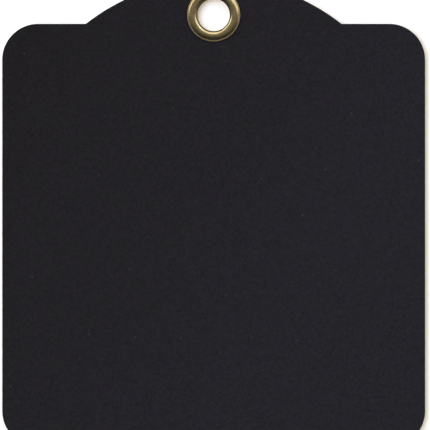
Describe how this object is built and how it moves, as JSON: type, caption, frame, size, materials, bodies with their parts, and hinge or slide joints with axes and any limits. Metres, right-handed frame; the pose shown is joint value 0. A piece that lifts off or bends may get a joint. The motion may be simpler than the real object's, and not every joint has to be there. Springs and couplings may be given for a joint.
{
  "type": "square tag",
  "caption": "Square black board tag with rounded corners and a low arched head that carries a brass eyelet for a ribbon, cord or ring.",
  "frame": {"origin": "under the middle of the tag's outline, at the lowest point of the eyelet's rolled tail", "axes": "+Z out of the face, +Y along the tag towards the eyelet, +X to the right as the face is seen"},
  "size_m": [0.105, 0.116, 0.0026],
  "materials": {
    "lining_paper": "matte, dyed black, with a fine mottled pulp texture",
    "pulp_board": "matte, dyed black, fibrous where it is cut",
    "antique_brass": "polished brass toned brown, with brighter worn edges"
  },
  "bodies": {
    "root": {"front_face_paper": "lining_paper", "core_board": "pulp_board", "back_face_paper": "lining_paper", "eyelet": "antique_brass", "eyelet_washer": "antique_brass"}
  },
  "joints": []
}
